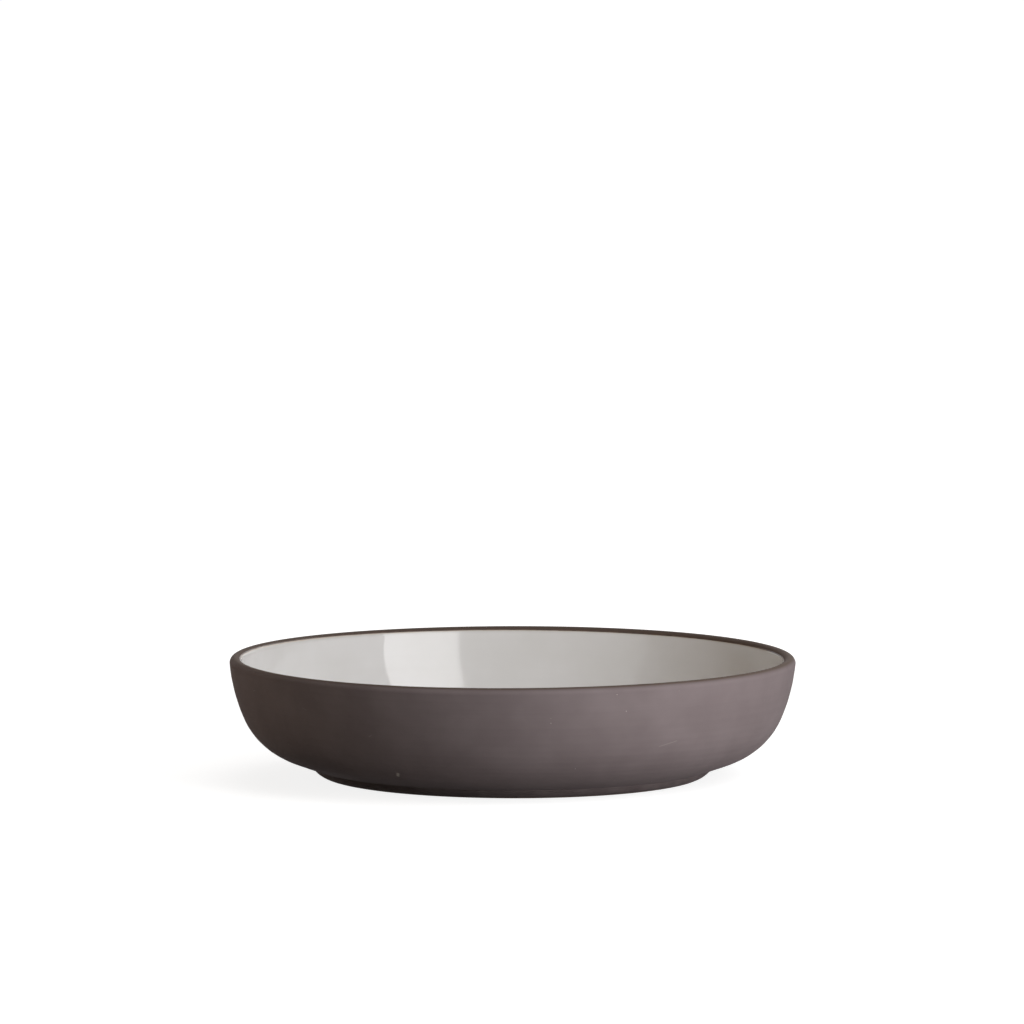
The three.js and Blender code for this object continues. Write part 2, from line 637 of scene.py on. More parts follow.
class Bench:
    """Node tree of one material, with short calls for the nodes that the finishes share.

    Attributes:
        dot_core: Part of a dot's radius inside which it is full.
    """

    dot_core: ClassVar[float] = 0.6

    def __init__(self, name: str) -> None:
        """Starts an empty material.

        Args:
            name: Name of the material.
        """
        self.material = bpy.data.materials.new(name)
        self.material.use_nodes = True
        self.tree = self.material.node_tree
        self.tree.nodes.clear()
        self.output = self.tree.nodes.new("ShaderNodeOutputMaterial")

    def node(self, kind: str, inputs: Inputs | None = None, **settings: object) -> bpy.types.Node:
        """Adds a node.

        Args:
            kind: Type of the node.
            inputs: Values or sockets by the name or number of the input.
            **settings: Properties of the node.

        Returns:
            The new node.
        """
        made = self.tree.nodes.new(kind)
        for key, value in settings.items():
            setattr(made, key, value)
        for key, value in (inputs or {}).items():
            if isinstance(value, Socket):
                self.tree.links.new(value, made.inputs[key])
            else:
                made.inputs[key].default_value = value
        return made

    def out(self, kind: str, inputs: Inputs | None = None, **settings: object) -> Socket:
        """Adds a node and gives its first output."""
        return self.node(kind, inputs, **settings).outputs[0]

    @cached_property
    def place(self) -> Socket:
        """Place on the plate, in metres."""
        return self.node("ShaderNodeTexCoord").outputs["Object"]

    @cached_property
    def parts(self) -> bpy.types.Node:
        """Place on the plate, split into X, Y and Z."""
        return self.node("ShaderNodeSeparateXYZ", {0: self.place})

    @cached_property
    def radius(self) -> Socket:
        """Distance from the plate's axis."""
        flat = self.vector("MULTIPLY", self.place, (1, 1, 0))
        return self.vector("DISTANCE", flat, (0, 0, 0), "Value")

    @cached_property
    def edge_way(self) -> Socket:
        """Distance along the section from where the piece's outline starts."""
        return self.node("ShaderNodeAttribute", attribute_name=EDGE_WAY).outputs["Fac"]

    @cached_property
    def way(self) -> Socket:
        """Distance along the section: radius and height together."""
        return self.math("ADD", self.radius, self.parts.outputs["Z"])

    def math(self, operation: str, first: float | Socket, second: float | Socket = 0.0,
             **settings: object) -> Socket:
        """Result of an operation on two values."""
        return self.out("ShaderNodeMath", {0: first, 1: second}, operation=operation, **settings)

    def vector(self, operation: str, first: Vector | Socket, second: Place | Vector | Socket,
               output: str = "Vector") -> Socket:
        """Result of an operation on two vectors."""
        inputs = {0: first, 1: second}
        return self.node("ShaderNodeVectorMath", inputs, operation=operation).outputs[output]

    def noise(self, size: float, detail: float = 3, place: Socket | None = None) -> Socket:
        """Soft random pattern round 0.5 with features of a size, read on the plate by default."""
        inputs = {"Vector": place or self.place, "Scale": 1 / size, "Detail": detail}
        return self.node("ShaderNodeTexNoise", inputs).outputs["Fac"]

    def lines(self, pitch: float, reach: float, detail: float = 3) -> Socket:
        """Random lines round the plate, as a turning tool leaves.

        Args:
            pitch: Distance between lines along the section.
            reach: Length of a line before it changes.
            detail: Number of finer layers.

        Returns:
            Values round 0.5.
        """
        slow = self.vector("MULTIPLY", self.place, (pitch / reach, pitch / reach, 0))
        quick = self.out("ShaderNodeCombineXYZ", {"Z": self.way})
        return self.noise(pitch, detail, self.vector("ADD", slow, quick))

    def specks(self, spacing: float, size: float, share: float) -> Socket:
        """Scattered small dots.

        Args:
            spacing: Mean distance between the places where a dot may be.
            size: Radius of a dot.
            share: Part of those places that have one.

        Returns:
            1 inside a dot, 0 outside.
        """
        cells = self.node("ShaderNodeTexVoronoi", {"Vector": self.place, "Scale": 1 / spacing})
        edge = size / spacing
        dot = self.spread(cells.outputs["Distance"], edge, self.dot_core * edge)
        pick = self.out("ShaderNodeSeparateColor", {0: cells.outputs["Color"]})
        return self.math("MULTIPLY", dot, self.math("LESS_THAN", pick, share))

    def scuffs(self, spacing: float, width: float, length: float, strength: float) -> Socket:
        """Short thin marks, as other crockery leaves.

        Args:
            spacing: Rough distance between marks.
            width: Width of a mark.
            length: Length of a mark.
            strength: Value inside a mark.

        Returns:
            The strength inside a mark, 0 outside.
        """
        drift = self.math("SUBTRACT", self.noise(spacing, detail=0), NOISE_MIDDLE)
        thin = self.spread(self.math("ABSOLUTE", drift), 0, width / spacing, 1, 0)
        short = self.spread(self.noise(length, detail=1), *NOISE_PEAKS, to_high=strength)
        return self.math("MULTIPLY", thin, short)

    def mark(self, mark: Mark) -> Socket:
        """One mark at a given place.

        Args:
            mark: The mark.

        Returns:
            The mark's strength at its middle, 0 outside.
        """
        along = Vector(mark.end) - Vector(mark.start)
        gap = self.vector("SUBTRACT", self.place, mark.start)
        reach = self.vector("DOT_PRODUCT", gap, along, "Value")
        share = self.math("MULTIPLY", reach, 1 / along.length_squared, use_clamp=True)
        away = self.vector("DISTANCE", gap, self.vector("MULTIPLY", along, share), "Value")
        return self.spread(away, 0, mark.width, mark.strength, 0)

    def spread(self, value: Socket, low: float, high: float,
               to_low: float = 0, to_high: float = 1) -> Socket:
        """Value stretched from the range low to high onto another, and held inside that."""
        ranges = {"From Min": low, "From Max": high, "To Min": to_low, "To Max": to_high}
        return self.out("ShaderNodeMapRange", {"Value": value, **ranges},
                        interpolation_type="SMOOTHSTEP")

    def clouds(self, pattern: Socket, to_low: float = 0, to_high: float = 1) -> Socket:
        """Noise pattern with most of its range stretched onto another."""
        return self.spread(pattern, *NOISE_MOST, to_low, to_high)

    def ragged(self, value: Socket, pattern: Socket, reach: float) -> Socket:
        """Value that a noise pattern moves up and down by as much as a reach."""
        return self.math("ADD", value, self.spread(pattern, *NOISE_WIDE, -reach, reach))

    def blend(self, share: Socket, first: Colour | Socket, second: Colour | Socket) -> Socket:
        """Mix of two colours, with a share of the second one."""
        inputs = {0: share, 6: first, 7: second}
        return self.node("ShaderNodeMix", inputs, data_type="RGBA").outputs[2]

    def layered(self, base: Socket, *layers: tuple[Socket, Colour]) -> Socket:
        """Colour with others laid over it.

        Args:
            base: The colour underneath.
            *layers: Share and colour of each layer, from the lowest up.

        Returns:
            The mixed colour.
        """
        for share, colour in layers:
            base = self.blend(share, base, colour)
        return base

    def bumps(self, *patterns: tuple[Socket, float]) -> Socket:
        """Surface normal from height patterns that add to one another.

        Args:
            *patterns: Pattern from 0 to 1, and its real height.

        Returns:
            The normal.
        """
        under: Inputs = {}
        for pattern, depth in patterns:
            inputs = {"Height": pattern, "Distance": depth, "Strength": 1.0, **under}
            under = {"Normal": self.out("ShaderNodeBump", inputs)}
        return under["Normal"]

    def ended(self, shader: Socket) -> bpy.types.Material:
        """Ends the tree with a shader and gives the finished material."""
        self.tree.links.new(shader, self.output.inputs["Surface"])
        return self.material

    def surface(self, inputs: Inputs) -> bpy.types.Material:
        """Ends the tree with one principled shader of these inputs."""
        return self.ended(self.out("ShaderNodeBsdfPrincipled", inputs))


@dataclass(frozen=True)
class SlipFinish:
    """Matte brown-grey slip, browner and smoother where it turns in over the lip; the browner tone
    there is partly the slip's own and partly painted shade.

    Attributes:
        lip_height: Height above which the lip's tone, partly painted shade, may show.
        lip_start: Radius where the lip's tone starts.
        lip_full: Radius inside which it is full.
        lip_blur: How far the tone fades in above and below its height.
        light: Lighter tone of the slip.
        dark: Darker tone of the slip.
        line: Tone of the turning lines.
        lip: Tone of the slip on the inner half of the lip, partly its own browner tone and partly
            painted shade.
        speck: Tone of the scattered pale specks.
        marks: The two pale marks that the photograph shows on the outside.
    """

    lip_height: float
    lip_start: float
    lip_full: float
    lip_blur: float = 0.3 * MM
    light: Colour = tone(130, 119, 120)
    dark: Colour = tone(122, 111, 112)
    line: Colour = tone(110, 99, 99)
    lip: Colour = tone(87, 74, 67)
    speck: Colour = tone(196, 188, 182)
    marks: tuple[Mark, ...] = (
        # The first mark is a painted highlight of a small bump on the lower outer wall.
        Mark(start=(-45.6 * MM, -85.8 * MM, 10.3 * MM), end=(-45.6 * MM, -87.8 * MM, 11.5 * MM),
             width=1.1 * MM, strength=1.0),
        Mark(start=(58.5 * MM, -91.6 * MM, 23.0 * MM), end=(65.4 * MM, -87.8 * MM, 24.8 * MM),
             width=0.4 * MM, strength=0.16),
    )

    @classmethod
    def for_section(cls, section: PlateSection, full_at: float = 0.4) -> "SlipFinish":
        """Slip whose lip tone fits a plate.

        Args:
            section: Section of the plate.
            full_at: Part of the lip's radius, out from the crest, where the tone is full.

        Returns:
            The finish.
        """
        crest, height = section.lip_centre
        start, full = (crest + part * section.lip_radius for part in (1, full_at))
        return cls(lip_height=height, lip_start=start, lip_full=full)

    def material(self) -> bpy.types.Material:
        """Builds the node material.

        Returns:
            The finished material.
        """
        bench = Bench("slip_matte")
        fine = bench.lines(pitch=0.8 * MM, reach=90 * MM, detail=4)
        broad = bench.lines(pitch=6 * MM, reach=200 * MM, detail=2)
        # Darker tone over the top of the lip: partly the slip's own brown, partly painted shade
        # that keeps the rounded lip from lighting up.
        low, high = self.lip_height - self.lip_blur, self.lip_height + self.lip_blur
        above = bench.spread(bench.parts.outputs["Z"], low, high)
        inner = bench.spread(bench.radius, self.lip_start, self.lip_full)
        lip = bench.math("MULTIPLY", above, inner)
        scuffs = bench.scuffs(spacing=70 * MM, width=0.1 * MM, length=9 * MM, strength=0.26)
        specks = bench.specks(spacing=5 * MM, size=0.2 * MM, share=0.3)
        colour = bench.layered(
            bench.blend(bench.clouds(bench.noise(size=22 * MM)), self.dark, self.light),
            (bench.spread(broad, 0.4, 0.75, to_high=0.2), self.dark),
            (bench.spread(fine, 0.5, 0.85, to_high=0.14), self.line),
            (lip, self.lip),
            (scuffs, self.speck),
            (specks, self.speck),
            *((bench.mark(mark), self.speck) for mark in self.marks),
        )
        grain = bench.noise(size=0.3 * MM, detail=2)
        return bench.surface({
            "Base Color": colour,
            "Roughness": bench.spread(lip, 0, 1, 0.85, 0.7),
            "Normal": bench.bumps((fine, 0.008 * MM), (grain, 0.012 * MM)),
            "Specular IOR Level": 0.05,
        })


@dataclass(frozen=True)
class LinerFinish:
    """Glossy white glaze that thins to a narrow warm fringe at its edge on the lip, with a grey
    band below the lip that is partly painted shade.

    Attributes:
        white: Tone of the glaze.
        shade: Its slightly darker tone.
        thin: Grey tone where it starts to thin towards the lip, partly painted shade.
        fringe: Tone where it thins further.
        edge: Tone at its very edge.
        thin_shade_reach: Width of the grey band that thins, partly painted shade.
        fringe_reach: Width of the fringe.
        edge_reach: Width of the edge.
        wander: How far these bands wander to and fro.
    """

    white: Colour = tone(227, 225, 224)
    shade: Colour = tone(222, 220, 218)
    thin: Colour = tone(206, 203, 200)
    fringe: Colour = tone(208, 196, 183)
    edge: Colour = tone(166, 145, 129)
    thin_shade_reach: float = 2.4 * MM
    fringe_reach: float = 0.8 * MM
    edge_reach: float = 0.32 * MM
    wander: float = 0.1 * MM

    def material(self) -> bpy.types.Material:
        """Builds the node material.

        Returns:
            The finished material.
        """
        bench = Bench("liner_white")
        cloud = bench.noise(size=28 * MM)
        rings = bench.lines(pitch=4 * MM, reach=200 * MM, detail=2)
        way = bench.ragged(bench.edge_way, bench.noise(size=5 * MM, detail=2), self.wander)
        colour = bench.layered(
            bench.blend(bench.clouds(cloud), self.white, self.shade),
            (bench.spread(rings, 0.5, 0.8, to_high=0.4), self.shade),
            # Grey band below the lip: thinning glaze, and painted shade under the lip.
            (bench.spread(way, self.thin_shade_reach, self.edge_reach), self.thin),
            (bench.spread(way, self.fringe_reach, self.edge_reach, to_high=0.8), self.fringe),
            (bench.spread(way, self.edge_reach, 0, to_high=0.9), self.edge),
        )
        peel = bench.noise(size=2.5 * MM, detail=2)
        return bench.surface({
            "Base Color": colour,
            "Roughness": bench.clouds(cloud, 0.06, 0.11),
            "Normal": bench.bumps((rings, 0.012 * MM), (peel, 0.006 * MM)),
            "IOR": 1.5,
            "Specular IOR Level": 0.5,
        })


@dataclass(frozen=True)
class BreakFinish:
    """Dark red-brown line where the glaze runs out over the slip.

    Attributes:
        light: Lighter tone of the line.
        dark: Darker tone of the line.
    """

    light: Colour = tone(92, 74, 62)
    dark: Colour = tone(58, 46, 40)

    def material(self) -> bpy.types.Material:
        """Builds the node material.

        Returns:
            The finished material.
        """
        bench = Bench("break_brown")
        drift = bench.noise(size=4 * MM, detail=4)
        grain = bench.noise(size=0.5 * MM, detail=2)
        return bench.surface({
            "Base Color": bench.blend(bench.clouds(drift), self.dark, self.light),
            "Roughness": bench.clouds(drift, 0.3, 0.5),
            "Normal": bench.bumps((grain, 0.01 * MM)),
        })


@dataclass(frozen=True)
class FootFinish:
    """Thin slip down the foot's side, wiped back to bare gritty clay where it stands.

    Attributes:
        light: Lighter tone of the slip.
        dark: Darker tone of the slip.
        bare: Tone of the bare clay.
        rubbed: Tone of the clay where it rubs on the table.
        grit: Tone of the dark grit in the clay.
        wiped_high: Height where the wiped band ends.
        wiped_low: Height below which all slip is gone.
        wander: How far the wiped band's edge wanders up and down.
    """

    light: Colour = tone(126, 115, 115)
    dark: Colour = tone(114, 103, 103)
    bare: Colour = tone(132, 112, 98)
    rubbed: Colour = tone(172, 153, 138)
    grit: Colour = tone(84, 70, 62)
    wiped_high: float = 0.75 * MM
    wiped_low: float = 0.35 * MM
    wander: float = 0.2 * MM

    def material(self) -> bpy.types.Material:
        """Builds the node material.

        Returns:
            The finished material.
        """
        bench = Bench("foot_wiped_slip")
        patch = bench.noise(size=2 * MM)
        height = bench.ragged(bench.parts.outputs["Z"], patch, self.wander)
        wiped = bench.spread(height, self.wiped_high, self.wiped_low)
        slip = bench.blend(bench.clouds(bench.noise(size=9 * MM)), self.dark, self.light)
        clay = bench.layered(
            bench.blend(bench.spread(patch, 0.35, 0.65, to_high=0.8), self.bare, self.rubbed),
            (bench.specks(spacing=1.4 * MM, size=0.22 * MM, share=0.5), self.grit),
        )
        fine = bench.lines(pitch=0.7 * MM, reach=60 * MM)
        grain = bench.noise(size=0.25 * MM)
        return bench.surface({
            "Base Color": bench.blend(wiped, slip, clay),
            "Roughness": bench.spread(wiped, 0, 1, 0.85, 0.95),
            "Normal": bench.bumps((fine, 0.02 * MM), (grain, 0.03 * MM)),
            "Specular IOR Level": 0.05,
        })


@dataclass(frozen=True)
class ClayFinish:
    """Fired stoneware under the coats.

    Attributes:
        light: Lighter tone of the clay.
        dark: Darker tone of the clay.
        grit: Tone of the dark grit in it.
    """

    light: Colour = tone(150, 130, 116)
    dark: Colour = tone(126, 106, 93)
    grit: Colour = tone(88, 72, 62)

    def material(self) -> bpy.types.Material:
        """Builds the node material.

        Returns:
            The finished material.
        """
        bench = Bench("stoneware")
        cloud = bench.noise(size=9 * MM, detail=4)
        grain = bench.noise(size=0.3 * MM)
        specks = bench.specks(spacing=1.5 * MM, size=0.25 * MM, share=0.5)
        clay = bench.blend(bench.clouds(cloud), self.dark, self.light)
        return bench.surface({
            "Base Color": bench.blend(specks, clay, self.grit),
            "Roughness": bench.clouds(cloud, 0.85, 0.95),
            "Normal": bench.bumps((grain, 0.03 * MM)),
        })


@dataclass
class TurnedPiece(ABC):
    """One piece of the plate, turned on the lathe and tied to the frame.

    Attributes:
        lathe: Turns outlines into meshes.
        finish: Finish of the piece.
        name: Name of the piece.
        node: CAD node that the piece stands for.
        slot: Slot of the record that the finish belongs to.
        marks: Ripple on the face that shows.
    """

    lathe: Lathe
    finish: bpy.types.Material

    name: ClassVar[str]
    node: ClassVar[CadNode]
    slot: ClassVar[Slot]
    marks: ClassVar[WheelMarks]

    @property
    def section(self) -> PlateSection:
        """The plate's section."""
        return self.lathe.section

    @abstractmethod
    def outline(self, shift: float) -> Outline:
        """Section of the piece, for a shift of the glaze line along the lip."""

    def build(self) -> bpy.types.Object:
        """Turns the piece, dresses it and ties it to the frame.

        Returns:
            The finished piece.
        """
        piece = self.lathe.turn(self.name, self.outline, self.marks)
        self.dress(piece)
        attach(piece, BODY)
        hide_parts(self.node.value)
        return piece

    def dress(self, piece: bpy.types.Object) -> None:
        """Gives the piece its finish."""
        piece.data.materials.append(self.finish)


@dataclass
class OuterSlip(TurnedPiece):
    """Matte coat over the outside and the lip.

    Attributes:
        depth: Thickness of the coat.
    """

    depth: float = 0.4 * MM

    name = "outer_slip_coat"
    node = CadNode.SLIP
    slot = Slot.SLIP
    marks = WheelMarks(
        pitches=(1.9 * MM, 4.3 * MM, 9 * MM),
        heights=(0.003 * MM, 0.008 * MM, 0.014 * MM),
        seed=11,
    )

    def outline(self, shift: float) -> Outline:
        """Section of the coat, from the foot up and over the lip."""
        face, back = (self.section.outside(depth, shift)[::-1] for depth in (0, self.depth))
        return Outline.coat(face, back)


@dataclass
class LinerGlaze(TurnedPiece):
    """Glossy coat over the inner wall and the floor.

    Attributes:
        depth: Thickness of the coat.
    """

    depth: float = 0.5 * MM

    name = "liner_glaze_coat"
    node = CadNode.LINER
    slot = Slot.LINER
    marks = WheelMarks(
        pitches=(3.1 * MM, 5.3 * MM, 12 * MM),
        heights=(0.002 * MM, 0.004 * MM, 0.012 * MM),
        seed=23,
    )

    def outline(self, shift: float) -> Outline:
        """Section of the coat, from the lip down to the middle of the floor."""
        face, back = (self.section.inside(depth, shift) for depth in (0, self.depth))
        return Outline.coat(face, back)


@dataclass
class BreakLine(TurnedPiece):
    """Thin line along the lip between slip and liner.

    Attributes:
        depth: Thickness of the line.
    """

    depth: float = 0.4 * MM

    name = "break_line_band"
    node = CadNode.BREAK
    slot = Slot.BREAK
    marks = WheelMarks(pitches=(), heights=(), seed=0)

    def outline(self, shift: float) -> Outline:
        """Section of the line, from the slip to the liner.

        Args:
            shift: How far the glaze line has moved along the lip.

        Returns:
            The closed section.
        """
        lip, steps = self.section.lip_radius, self.section.facets.break_line
        ends = [angle + shift / lip for angle in (self.section.glaze_line, self.section.break_end)]
        face, back = (arc(self.section.lip_centre, radius, *ends, steps)
                      for radius in (lip, lip - self.depth))
        return Outline.coat(face, back)


@dataclass
class FootRing(TurnedPiece):
    """Ring that the plate stands on.

    Attributes:
        well_radius: Radius of the base inside the ring.
        top: Height where the ring meets the base.
        tuck: How far the land's outer edge lies inside the ring's top.
        land: Width of the flat that touches the table.
        side_radius: Round of the outer side.
        edge_round: Rounding of the land's edges.
    """

    well_radius: float
    top: float
    tuck: float = 6.3 * MM
    land: float = 4.4 * MM
    side_radius: float = 9 * MM
    edge_round: float = 0.5 * MM

    name = "foot_ring_turned"
    node = CadNode.FOOT
    slot = Slot.FOOT_CLAY
    marks = WheelMarks(
        pitches=(1.5 * MM, 3.2 * MM),
        heights=(0.006 * MM, 0.008 * MM),
        seed=37,
    )

    def side(self, low: np.ndarray, high: np.ndarray) -> np.ndarray:
        """Points up the round outer side.

        Args:
            low: Outer edge of the land.
            high: Shoulder under the plate.

        Returns:
            One row of radius and height per point.
        """
        way = high - low
        length = np.linalg.norm(way)
        inward = np.array([-way[1], way[0]]) / length
        centre = (low + high) / 2 + inward * math.sqrt(self.side_radius**2 - length**2 / 4)
        start = math.atan2(*(low - centre)[::-1])
        end = start + 2 * math.asin(length / 2 / self.side_radius)
        return arc(centre, self.side_radius, start, end, self.section.facets.foot_side)

    def outline(self, shift: float) -> Outline:
        """Section of the ring, down the inner side, over the land and up the outer side.

        Args:
            shift: Shift of the glaze line, which doesn't reach the foot.

        Returns:
            The closed section.
        """
        steps, foot = self.section.facets, self.section.foot_radius
        land_outer = np.array([foot - self.tuck, 0])
        land_inner = land_outer - np.array([self.land, 0])
        well = np.array([self.well_radius, self.top])
        shoulder = np.array([foot, self.section.foot_height])
        side = self.side(land_outer, shoulder)[steps.foot_edge_side:]
        inner_edge = eased(well, land_inner, land_outer, self.edge_round, steps.foot_edge)
        outer_edge = eased(land_inner, land_outer, side[0], self.edge_round, steps.foot_edge)
        face = np.concatenate([
            straight(well, inner_edge[0], steps.foot_flat)[:-1],
            inner_edge,
            straight(inner_edge[-1], outer_edge[0], steps.foot_flat)[1:-1],
            outer_edge,
            side,
            [[foot, self.top]],
        ])
        back = np.array([[(self.well_radius + foot) / 2, self.top]])
        return Outline.coat(face, back)


@dataclass
class BaseSlip(TurnedPiece):
    """Matte coat on the base inside the foot ring.

    Attributes:
        radius: Radius of the coat.
        face_height: Height of the side that shows.
        depth: Thickness of the coat.
    """

    radius: float
    face_height: float
    depth: float = 0.4 * MM

    name = "base_slip_coat"
    node = CadNode.BASE
    slot = Slot.SLIP
    marks = WheelMarks(
        pitches=(1.8 * MM, 4.6 * MM),
        heights=(0.01 * MM, 0.016 * MM),
        seed=53,
    )

    def outline(self, shift: float) -> Outline:
        """Section of the coat, from the middle outwards.

        Args:
            shift: Shift of the glaze line, which doesn't reach the base.

        Returns:
            The closed section.
        """
        face = straight(np.array([0, self.face_height]), np.array([self.radius, self.face_height]),
                        self.section.facets.base)
        return Outline.coat(face, face + np.array([0, self.depth]))


@dataclass
class ClayBody:
    """Dish of fired stoneware under the coats, kept as the CAD node.

    Attributes:
        piece: The CAD node's object.
        finish: Finish of the clay.
    """

    piece: bpy.types.Object
    finish: bpy.types.Material

    def build(self) -> bpy.types.Object:
        """Dresses the node and gives it back."""
        self.dress(self.piece)
        return self.piece

    def dress(self, piece: bpy.types.Object) -> None:
        """Gives the node its finish."""
        for slot in piece.material_slots:
            slot.material = self.finish


@dataclass(frozen=True)
class Softbox:
    """Flat soft lamp that faces the plate.

    Attributes:
        name: Name of the lamp.
        azimuth: Angle to the right of the camera, seen from the plate.
        elevation: Angle above the table.
        distance: Distance from the plate.
        width: Width of the lamp.
        height: Height of the lamp.
        power: Power in watts.
        tint: Colour of the light.
        lean: Turn of the lamp about the line to the plate.
        tilt: How far the lamp looks over the plate.
        mirrored: Whether the glaze shows the lamp.
    """

    name: str
    azimuth: float
    elevation: float
    distance: float
    width: float
    height: float
    power: float
    tint: tuple[float, float, float] = (1, 1, 1)
    lean: float = 0.0
    tilt: float = 0.0
    mirrored: bool = True

    def build(self, aim: Vector) -> bpy.types.Object:
        """Hangs the lamp.

        Args:
            aim: Point that the lamp faces.

        Returns:
            The lamp.
        """
        lamp = bpy.data.lights.new(self.name, "AREA")
        lamp.shape = "RECTANGLE"
        lamp.size, lamp.size_y = self.width, self.height
        lamp.energy = self.power
        lamp.color = self.tint
        holder = placed(self.name, lamp)
        away = direction(self.azimuth, self.elevation)
        holder.location = aim + away * self.distance
        turn = Quaternion((1, 0, 0), self.tilt) @ Quaternion((0, 0, 1), self.lean)
        holder.rotation_euler = (away.to_track_quat("Z", "Y") @ turn).to_euler()
        holder.visible_camera = False
        holder.visible_glossy = self.mirrored
        return holder


@dataclass(frozen=True)
class Card:
    """Large warm card that stands beside the plate, out of sight, and keeps light off that side.

    Attributes:
        azimuth: Direction from the plate, from the front towards the right.
        distance: From the plate's axis.
        width: Width of the card.
        height: Height of the card.
        light: Lighter tone of the card.
        dark: Darker tone of the card.
    """

    azimuth: float = math.radians(-105)
    distance: float = 0.85
    width: float = 1.5
    height: float = 0.8
    light: Colour = tone(150, 112, 76)
    dark: Colour = tone(140, 103, 69)

    def build(self) -> bpy.types.Object:
        """Stands the card up.

        Returns:
            The card.
        """
        half = self.width / 2
        corners = [(-half, 0, 0), (half, 0, 0), (half, 0, self.height), (-half, 0, self.height)]
        card = flat_sheet("card", corners, self.material())
        card.location = self.distance * direction(self.azimuth, 0)
        card.rotation_euler.z = self.azimuth
        card.visible_camera = False
        return card

    def material(self) -> bpy.types.Material:
        """Builds the node material.

        Returns:
            The finished material.
        """
        bench = Bench("card_warm")
        cloud = bench.clouds(bench.noise(size=60 * MM))
        return bench.surface({
            "Base Color": bench.blend(cloud, self.dark, self.light),
            "Roughness": 0.9,
            "Specular IOR Level": 0.0,
        })


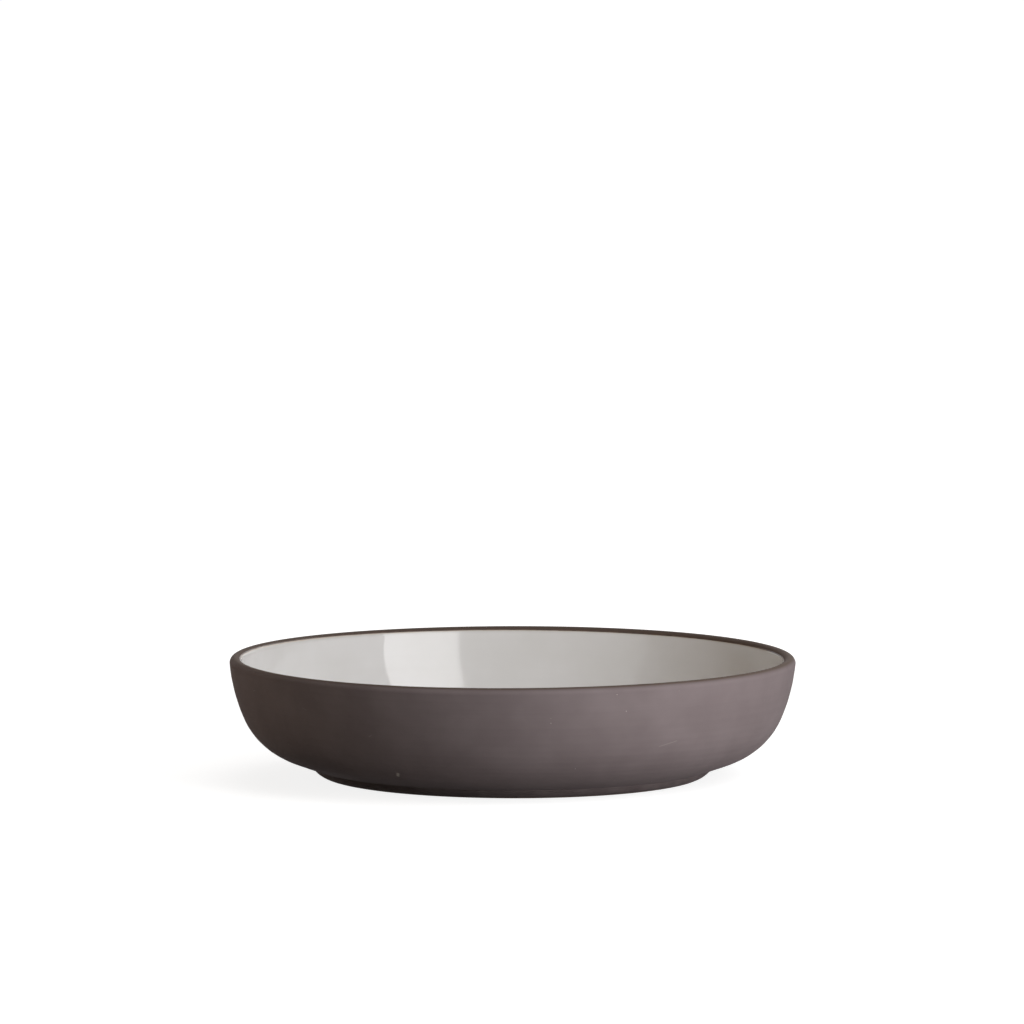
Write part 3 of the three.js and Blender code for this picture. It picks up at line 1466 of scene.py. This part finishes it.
@dataclass(frozen=True)
class Studio:
    """Pale floor, soft light and the photograph's camera.

    Attributes:
        floor_size: Side of the floor.
        floor_drop: Gap that keeps the floor clear of the foot's land.
        floor_shadow_grey: Colour of a painted shadow on the floor beside the plate's left, for
            light that bounces off it.
        floor_light: Colour of the rest of the floor for that light.
        floor_white: Colour of the floor to the eye.
        shadow_start: Distance from the plate's axis where the painted shadow starts to end.
        shadow_end: Distance where it has ended.
        glow_near: Glow of the floor beside the plate, where it keeps the shadow.
        foot_radius: Radius inside which the foot ring hides the floor.
        foot_blur: Width over which the hidden floor's glow ends.
        under_glow: Glow of the hidden floor, by which the base is seen from below.
        fade_start: Distance from the plate where the floor starts to turn white.
        fade_end: Distance where it is white.
        fill: Strength of the light from all round.
        fill_tint: Colour of that light.
        camera_distance: From the camera to the middle of the plate's foot.
        camera_elevation: Angle of the camera above the table, seen from there.
        camera_pitch: How far the camera looks down.
        camera_roll: Turn of the camera about its own axis.
        camera_side: How far the camera stands to the right of the plate's middle.
        camera_reach: How far the camera sees.
        lens: Focal length in millimetres.
        aim_height: Height above the table of the point that the lamps face.
        softboxes: The lamps.
        card: The card beside the plate.
    """

    floor_size: float = 16.0
    floor_drop: float = 0.05 * MM
    floor_shadow_grey: Colour = tone(98, 92, 86)
    floor_light: Colour = tone(236, 236, 236)
    floor_white: Colour = tone(176, 176, 176)
    shadow_start: float = 0.12
    shadow_end: float = 0.28
    glow_near: float = 0.85
    foot_radius: float = 74 * MM
    foot_blur: float = 1 * MM
    under_glow: float = 0.7
    fade_start: float = 0.2
    fade_end: float = 0.6
    fill: float = 0.04
    fill_tint: Colour = (1, 0.92, 0.82, 1)
    camera_distance: float = 4.5
    camera_elevation: float = math.radians(7.01)
    camera_pitch: float = math.radians(5.646)
    camera_roll: float = math.radians(0.1)
    camera_side: float = -0.33 * MM
    camera_reach: float = 64.0
    lens: float = 389.0
    aim_height: float = 0.03
    softboxes: tuple[Softbox, ...] = (
        Softbox("key_softbox", azimuth=math.radians(46), elevation=math.radians(25), distance=0.6,
                width=0.385, height=0.56, power=3.05,
                lean=math.radians(-8), tilt=math.radians(14)),
        Softbox("side_fill", azimuth=math.radians(-80), elevation=math.radians(20), distance=0.7,
                width=0.5, height=0.4, power=0.34, tint=(1, 0.84, 0.57), mirrored=False),
        Softbox("back_fill", azimuth=math.radians(170), elevation=math.radians(35), distance=1.5,
                width=1.2, height=0.8, power=5.0),
        Softbox("top_softbox", azimuth=math.radians(150), elevation=math.radians(82), distance=1.2,
                width=0.8, height=0.8, power=3.2),
    )
    card: Card = Card()

    def build(self) -> None:
        """Builds the floor, the card, the world, the lamps and the camera."""
        self.make_floor()
        self.card.build()
        self.make_world()
        for softbox in self.softboxes:
            softbox.build(Vector((0, 0, self.aim_height)))
        self.make_camera()

    def seen(self, tree: bpy.types.NodeTree) -> Socket:
        """1 for rays from the camera, a reflection or a glass, 0 for other light.

        Args:
            tree: Node tree to add the test to.

        Returns:
            The test's socket.
        """
        path = tree.nodes.new("ShaderNodeLightPath")
        last = path.outputs["Is Camera Ray"]
        for name in ("Is Glossy Ray", "Is Transmission Ray"):
            either = tree.nodes.new("ShaderNodeMath")
            either.operation = "MAXIMUM"
            tree.links.new(last, either.inputs[0])
            tree.links.new(path.outputs[name], either.inputs[1])
            last = either.outputs[0]
        return last

    def make_floor(self) -> bpy.types.Object:
        """Lays the floor.

        Returns:
            The floor.
        """
        half = self.floor_size / 2
        sides = ((-1, -1), (1, -1), (1, 1), (-1, 1))
        corners = [(x * half, y * half, -self.floor_drop) for x, y in sides]
        floor = flat_sheet("floor", corners, self.floor_material())
        return floor

    def floor_material(self) -> bpy.types.Material:
        """Floor that is white to the eye, with the plate's shadow, and grey to bounced light, with
        a painted shadow beside the plate's left.

        Returns:
            The finished material.
        """
        bench = Bench("floor_white")
        grain = bench.clouds(bench.noise(size=40 * MM), 0.97, 1)
        white = bench.blend(grain, self.floor_light, self.floor_white)
        # Painted shadow for bounced light: darker beside the plate's left and close to it.
        side = bench.spread(bench.parts.outputs["X"], -self.fade_start, self.fade_start)
        away = bench.spread(bench.radius, self.shadow_start, self.shadow_end)
        plain = bench.math("MAXIMUM", side, away)
        grey = bench.blend(plain, self.floor_shadow_grey, self.floor_light)
        foot_edge = self.foot_radius + self.foot_blur
        under = bench.spread(bench.radius, foot_edge, self.foot_radius, to_high=self.under_glow)
        glow = bench.spread(bench.radius, self.fade_start, self.fade_end, self.glow_near)
        bounce, lit = (
            bench.out("ShaderNodeAddShader", {
                0: bench.out("ShaderNodeBsdfDiffuse", {"Color": colour}),
                1: bench.out("ShaderNodeEmission", {"Strength": strength}),
            })
            for colour, strength in ((grey, under), (white, glow))
        )
        look = bench.out("ShaderNodeMixShader", {0: self.seen(bench.tree), 1: bounce, 2: lit})
        clear = bench.out("ShaderNodeBsdfTransparent")
        below = bench.node("ShaderNodeNewGeometry").outputs["Backfacing"]
        return bench.ended(bench.out("ShaderNodeMixShader", {0: below, 1: look, 2: clear}))

    def make_world(self) -> None:
        """Sets the world: white to the eye, and a weak even light on the plate."""
        world = bpy.data.worlds.new("studio")
        world.use_nodes = True
        bpy.context.scene.world = world
        tree = world.node_tree
        tree.nodes.clear()
        output = tree.nodes.new("ShaderNodeOutputWorld")
        mix = tree.nodes.new("ShaderNodeMixShader")
        tree.links.new(self.seen(tree), mix.inputs[0])
        for place, colour, strength in ((1, self.fill_tint, self.fill), (2, (1, 1, 1, 1), 1.0)):
            background = tree.nodes.new("ShaderNodeBackground")
            background.inputs["Color"].default_value = colour
            background.inputs["Strength"].default_value = strength
            tree.links.new(background.outputs[0], mix.inputs[place])
        tree.links.new(mix.outputs[0], output.inputs["Surface"])

    def make_camera(self) -> bpy.types.Object:
        """Sets the camera where the photograph was taken from.

        Returns:
            The camera.
        """
        data = bpy.data.cameras.new("camera")
        data.lens = self.lens
        data.clip_end = self.camera_reach
        camera = placed("camera", data)
        place = self.camera_distance * direction(0, self.camera_elevation)
        place.x = self.camera_side
        look = Matrix.Rotation(RIGHT_ANGLE - self.camera_pitch, 4, "X")
        roll = Matrix.Rotation(self.camera_roll, 4, "Z")
        camera.matrix_world = Matrix.Translation(place) @ look @ roll
        bpy.context.scene.camera = camera
        return camera


def section_from_frame(glaze_depth: float) -> PlateSection:
    """Section of the plate with its main sizes read from the frame.

    Args:
        glaze_depth: Thickness of the liner.

    Returns:
        The section.
    """
    slip_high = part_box(CadNode.SLIP.value)[1]
    foot_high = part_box(CadNode.FOOT.value)[1]
    liner_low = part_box(CadNode.LINER.value)[0]
    return PlateSection(
        edge_radius=slip_high[0],
        height=slip_high[2],
        foot_radius=foot_high[0],
        floor_height=liner_low[2] + glaze_depth,
    )


def main() -> None:
    """Builds the plate's pieces in order, then the studio, and logs each piece's face count."""
    logging.basicConfig(level=logging.INFO, format="%(name)s: %(message)s")
    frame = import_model()
    bpy.context.scene.view_settings.view_transform = "Standard"

    section = section_from_frame(LinerGlaze.depth)
    lathe = Lathe(section, Kiln())
    slip = SlipFinish.for_section(section).material()
    base_low, base_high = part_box(CadNode.BASE.value)
    foot_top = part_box(CadNode.FOOT.value)[1][2]
    pieces = (
        ClayBody(frame["nodes"][CadNode.BODY.value], ClayFinish().material()),
        OuterSlip(lathe, slip),
        LinerGlaze(lathe, LinerFinish().material()),
        BreakLine(lathe, BreakFinish().material()),
        FootRing(lathe, FootFinish().material(), well_radius=base_high[0], top=foot_top),
        BaseSlip(lathe, slip, radius=base_high[0], face_height=base_low[2]),
    )
    for piece in pieces:
        made = piece.build()
        LOG.info("%s built with %d faces", made.name, len(made.data.polygons))
    Studio().build()
    LOG.info("studio built")


if __name__ == "__main__":
    main()
